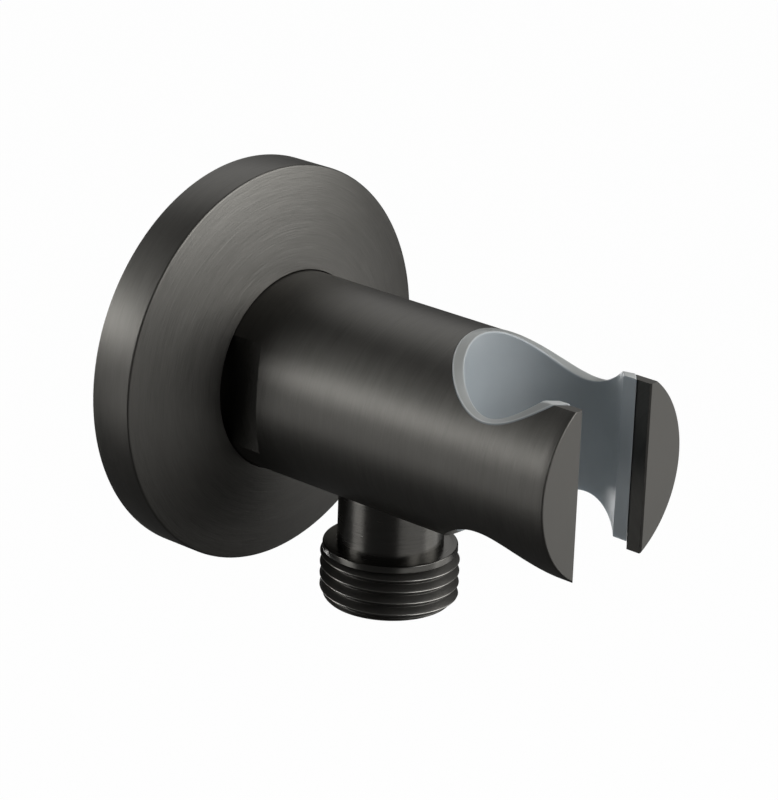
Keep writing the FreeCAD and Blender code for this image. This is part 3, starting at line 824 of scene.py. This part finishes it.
def dress_node(node, material):
    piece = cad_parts[node]
    if not piece.material_slots:
        piece.data.materials.append(material)
    for slot in piece.material_slots:
        slot.material = material


# Stage: floor, light and camera, in metres and degrees

FLOOR = -0.55
FLOOR_REACH = 6.0
FLOOR_WHITE = 0.985  # how much of the floor, as the camera sees it, is the white background
AIM = Vector((0.0, -0.036, -0.002))
DARK = 0.06  # the studio where nothing pale stands, in units of the white background
BACKDROP_MIDDLE = (142.0, 40.0)  # azimuth and elevation
BACKDROP_EDGE = 27.0  # how far from its middle it ends, and how far it is full
BACKDROP_FULL = 8.0

# Name, azimuth, elevation, size, radiance in units of the white background, and distance
LAMPS = (
    ("key_softbox", 28, 32, (1.3, 0.9), 2.6, 0.9),
    ("key_middle", 28, 32, (0.84, 0.48), 1.7, 0.88),
    ("front_softbox", 52, -17, (0.6, 0.35), 1.2, 0.9),
    ("right_low", 78, -33, (0.3, 0.3), 0.4, 0.9),
    ("front_strip", 5, -20, (1.2, 0.3), 0.65, 0.88),
    ("wall_side_fill", 166, -8, (0.5, 0.5), 6.0, 0.9),
    ("left_back_strip", -138, 14, (0.5, 0.2), 7.4, 0.9),
    ("left_back_low", -123, -16, (0.4, 0.3), 1.5, 0.92),
    ("left_back_high", -148, 36, (0.5, 0.3), 0.6, 0.92),
)

CAMERA_YAW = 48.658
CAMERA_PITCH = 20.345
CAMERA_ROLL = 2.025
CAMERA_DISTANCE = 0.487053
CAMERA_AIM = Vector((0.0, -0.035, 0.0))
CAMERA_SLIDE = Vector((0.00316, -0.00151))
CAMERA_LENS = 149.562
CAMERA_SENSOR = 36.0
CAMERA_CLIP = 0.01


def way_to(azimuth, elevation):
    """The direction at an angle round from straight ahead of the nose, turning right, and up from level."""
    around, up = math.radians(azimuth), math.radians(elevation)
    return Vector((math.sin(around) * math.cos(up), -math.cos(around) * math.cos(up), math.sin(up)))


def background_share(finish, mirrored):
    """1 for rays that see the background directly or through glass, mirrored for a reflection, else 0."""
    camera, glossy, through = [
        finish.node("ShaderNodeLightPath", output=kind)
        for kind in ("Is Camera Ray", "Is Glossy Ray", "Is Transmission Ray")
    ]
    return (camera + through + glossy * mirrored).lesser(1.0)


def make_floor():
    corners = [(-FLOOR_REACH, -FLOOR_REACH), (FLOOR_REACH, -FLOOR_REACH),
               (FLOOR_REACH, FLOOR_REACH), (-FLOOR_REACH, FLOOR_REACH)]
    mesh = bpy.data.meshes.new("floor")
    mesh.from_pydata([(x, y, FLOOR) for x, y in corners], [], [(0, 1, 2, 3)])
    floor = link("floor", mesh)
    floor.visible_glossy = False
    finish = Finish("pale_floor", Roughness=0.9)
    finish.set("Base Color", (0.88, 0.88, 0.88, 1))
    lit = Shade(finish, finish.shader.outputs[0])
    glow = finish.node("ShaderNodeEmission", values={"Color": WHITE, "Strength": 1.0})
    share = background_share(finish, 1.0) * FLOOR_WHITE
    mix = finish.node("ShaderNodeMixShader", values={0: share, 1: lit, 2: glow})
    finish.feed(finish.tree.nodes["Material Output"].inputs[0], mix)
    dress(floor, finish.material)


class WorldFinish(Finish):
    """The world's nodes, handled as a finish is."""

    def __init__(self, world):
        world.use_nodes = True
        self.tree = world.node_tree
        self.shader = self.tree.nodes["Background"]


def make_world():
    """White behind the object, as its metal shows it, and a dark studio round the rest."""
    world = bpy.data.worlds.new("studio")
    bpy.context.scene.world = world
    finish = WorldFinish(world)
    way = finish.node("ShaderNodeTexCoord", output="Generated")
    facing = finish.node(
        "ShaderNodeVectorMath", {"operation": "DOT_PRODUCT"},
        {0: way, 1: way_to(*BACKDROP_MIDDLE)}, output="Value",
    )
    edge, full = (math.cos(math.radians(angle)) for angle in (BACKDROP_EDGE, BACKDROP_FULL))
    backdrop = facing.ramp(edge, full)
    seen = background_share(finish, backdrop)
    studio = DARK + backdrop * (1 - DARK)
    finish.set("Color", WHITE)
    finish.set("Strength", seen + (1 - seen) * studio)


def make_lamp(name, azimuth, elevation, size, radiance, distance):
    """A soft lamp that looks at the object."""
    lamp = bpy.data.lights.new(name, "AREA")
    lamp.shape = "RECTANGLE"
    lamp.size, lamp.size_y = size
    lamp.energy = radiance * math.pi * size[0] * size[1]
    way = way_to(azimuth, elevation)
    piece = link(name, lamp)
    piece.location = AIM + way * distance
    piece.rotation_euler = way.to_track_quat("Z", "Y").to_euler()
    piece.visible_camera = False


def make_camera():
    """Stands where the photograph was taken from, to the left of the nose and a little above."""
    yaw, pitch, roll = (math.radians(angle) for angle in (CAMERA_YAW, CAMERA_PITCH, CAMERA_ROLL))
    forward = Vector((math.sin(yaw) * math.cos(pitch), math.cos(yaw) * math.cos(pitch), -math.sin(pitch)))
    level = Vector((math.cos(yaw), -math.sin(yaw), 0.0))
    upward = level.cross(forward)
    right = math.cos(roll) * level + math.sin(roll) * upward
    up = math.cos(roll) * upward - math.sin(roll) * level
    camera = bpy.data.cameras.new("camera")
    camera.lens = CAMERA_LENS
    camera.sensor_width = CAMERA_SENSOR
    camera.clip_start = CAMERA_CLIP
    piece = link("camera", camera)
    place = CAMERA_AIM - forward * CAMERA_DISTANCE - right * CAMERA_SLIDE.x - up * CAMERA_SLIDE.y
    turn = Matrix((right, up, -forward)).transposed()
    piece.matrix_world = Matrix.Translation(place) @ turn.to_4x4()
    bpy.context.scene.camera = piece


def make_pieces():
    pieces = [
        (make_body(), "elbow", "holder_body", "gunmetal_brass", body_gunmetal()),
        (make_plate(), "elbow", "wall_plate", "gunmetal_brass", plate_gunmetal()),
        (make_nipple(), "elbow", "outlet_nipple", "gunmetal_brass", nipple_gunmetal()),
        (make_liner(), "elbow", "holder_liner", "liner_plastic", liner_plastic()),
        (make_spring(), "elbow", "check_valve_spring", "spring_steel", drawn_steel()),
    ]
    for piece, body, node, slot, material in pieces:
        dress(piece, material)
        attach(piece, body)
        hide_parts(node)
    spring = pieces[-1][0]
    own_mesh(spring)


def dress_carried_over():
    """Finishes for the pieces that keep their shape from the frame."""
    rubber = moulded("black_rubber", (0.022, 0.022, 0.022), 0.5)
    for node in ("plate_o_ring", "nipple_o_ring", "check_valve_o_ring", "check_valve_seal"):
        dress_node(node, rubber)
    dress_node("inlet_washer", moulded("washer_rubber", (0.035, 0.035, 0.037), 0.62))
    white = moulded("white_acetal", (0.72, 0.72, 0.69), 0.42)
    for node in ("check_valve_housing", "check_valve_guide"):
        dress_node(node, white)
    dress_node("check_valve_poppet", moulded("blue_acetal", (0.04, 0.14, 0.34), 0.4))


def main():
    bpy.context.scene.view_settings.view_transform = "Standard"
    make_pieces()
    dress_carried_over()
    make_floor()
    make_world()
    for lamp in LAMPS:
        make_lamp(*lamp)
    make_camera()


main()
